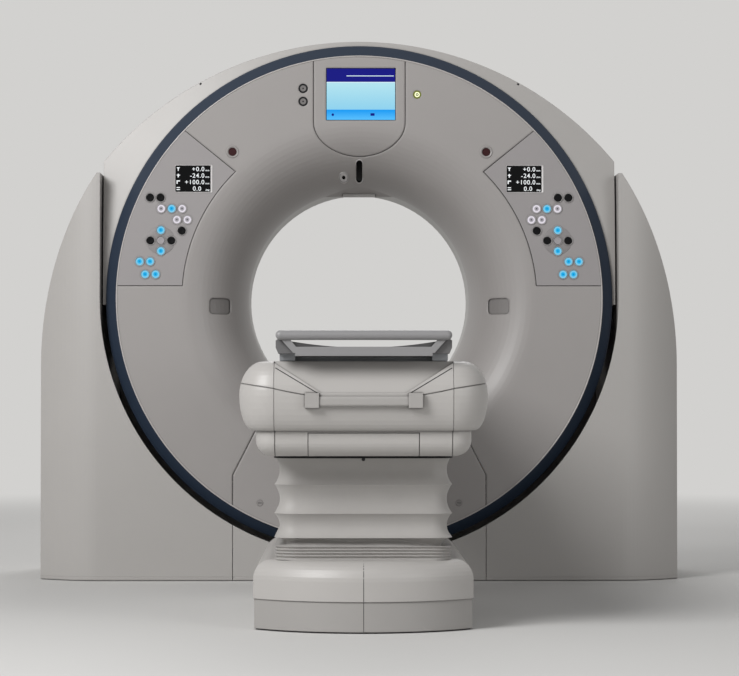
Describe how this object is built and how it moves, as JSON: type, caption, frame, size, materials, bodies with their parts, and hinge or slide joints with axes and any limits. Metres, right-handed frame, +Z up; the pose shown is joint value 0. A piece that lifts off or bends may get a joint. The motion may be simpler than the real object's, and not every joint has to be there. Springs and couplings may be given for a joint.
{
  "type": "ct scanner",
  "caption": "Medical CT scanner: tilting ring gantry with a bell-mouthed bore, monitor and key panels in its floor stand, and a lifting patient couch with a sliding table top.",
  "frame": {"origin": "on the floor under the isocentre, at the centre of the gantry's floor anchor pattern", "axes": "+Y along the bore from the couch to the rear, +Z up, +X to the right seen from the couch"},
  "size_m": [2.208, 2.998, 1.861],
  "materials": {
    "cover_white": "satin",
    "disc_grey": "satin",
    "ring_slate": "satin",
    "panel_grey": "matte",
    "screen_glass": "gloss",
    "key_blue": "gloss",
    "key_white": "gloss",
    "key_dark": "matte",
    "stop_red": "gloss",
    "lens_black": "gloss",
    "lamp": "gloss",
    "frame_steel": "satin",
    "bearing_steel": "satin",
    "motor_paint": "satin",
    "copper": "satin",
    "rotor_alu": "satin",
    "bore_film": "satin",
    "bellows_rubber": "matte",
    "table_carbon": "satin",
    "grip_grey": "satin"
  },
  "bodies": {
    "stand": {"stand_frame": "frame_steel", "tilt_bearings": "bearing_steel", "tilt_gearmotor": "motor_paint", "stand_cover_left": "cover_white", "stand_cover_right": "cover_white", "kick_panel": "cover_white", "rear_skirt": "cover_white", "couch_base_plate": "frame_steel", "base_skirt": "cover_white", "base_cover": "cover_white", "column_outer": "bearing_steel", "lift_drive": "motor_paint", "bellows": "bellows_rubber"},
    "tilt": {"tilt_frame": "frame_steel", "bearing_outer": "bearing_steel", "motor_stator": "motor_paint", "brush_block": "copper", "front_cover": "disc_grey", "front_lower_cover": "disc_grey", "ring_trim": "ring_slate", "crown_cover": "cover_white", "belly_cover": "cover_white", "rear_cover": "disc_grey", "bore_liner": "bore_film", "monitor_panel": "disc_grey", "control_panel_left": "panel_grey", "control_panel_right": "panel_grey", "screens": "screen_glass", "keys_blue": "key_blue", "keys_white": "key_white", "keys_dark": "key_dark", "laser_housing": "bore_film", "laser_windows": "lens_black", "lamps": "lamp"},
    "stop_button_left": {"stop_left": "stop_red"},
    "stop_button_right": {"stop_right": "stop_red"},
    "rotor": {"rotor_frame": "rotor_alu", "bearing_inner": "bearing_steel", "magnet_ring": "rotor_alu", "slip_ring": "copper", "xray_tube": "rotor_alu", "collimator": "rotor_alu", "detector_array": "rotor_alu", "hv_units": "motor_paint", "heat_exchanger": "rotor_alu", "counterweights": "frame_steel"},
    "column_stage": {"column_mid": "bearing_steel"},
    "couch": {"column_inner": "bearing_steel", "couch_frame": "rotor_alu", "couch_side_left": "cover_white", "couch_side_right": "cover_white", "foot_cover": "cover_white", "foot_handle": "grip_grey", "head_cover": "cover_white", "couch_lower_cover": "cover_white", "foot_hatch": "cover_white", "couch_deck": "rotor_alu"},
    "carriage": {"table_carriage": "rotor_alu"},
    "table": {"table_top": "table_carbon", "grip_plate": "grip_grey"}
  },
  "joints": [
    {"name": "gantry_tilt", "type": "hinge", "parent": "stand", "child": "tilt", "pos_m": [0, 0, 0.97], "axis": [1, 0, 0], "range_deg": [-20, 20]},
    {"name": "rotor_spin", "type": "hinge", "parent": "tilt", "child": "rotor", "pos_m": [0, 0, 0.97], "axis": [0, 1, 0], "continuous": true},
    {"name": "couch_lift", "type": "slide", "parent": "stand", "child": "couch", "axis": [0, 0, 1], "range_m": [-0.22, 0.16], "deforming": ["bellows"]},
    {"name": "column_follow", "type": "slide", "parent": "stand", "child": "column_stage", "axis": [0, 0, 1], "range_m": [-0.11, 0.08]},
    {"name": "table_lateral", "type": "slide", "parent": "couch", "child": "carriage", "axis": [1, 0, 0], "range_m": [-0.042, 0.042]},
    {"name": "table_slide", "type": "slide", "parent": "carriage", "child": "table", "axis": [0, 1, 0], "range_m": [0, 1.35]},
    {"name": "stop_left_press", "type": "slide", "parent": "tilt", "child": "stop_button_left", "axis": [0, 1, 0], "range_m": [0, 0.006], "stiffness_N_per_m": 1500},
    {"name": "stop_right_press", "type": "slide", "parent": "tilt", "child": "stop_button_right", "axis": [0, 1, 0], "range_m": [0, 0.006], "stiffness_N_per_m": 1500}
  ],
  "couplings": [
    {"joint": "column_follow", "follows": "couch_lift", "ratio": 0.5}
  ]
}
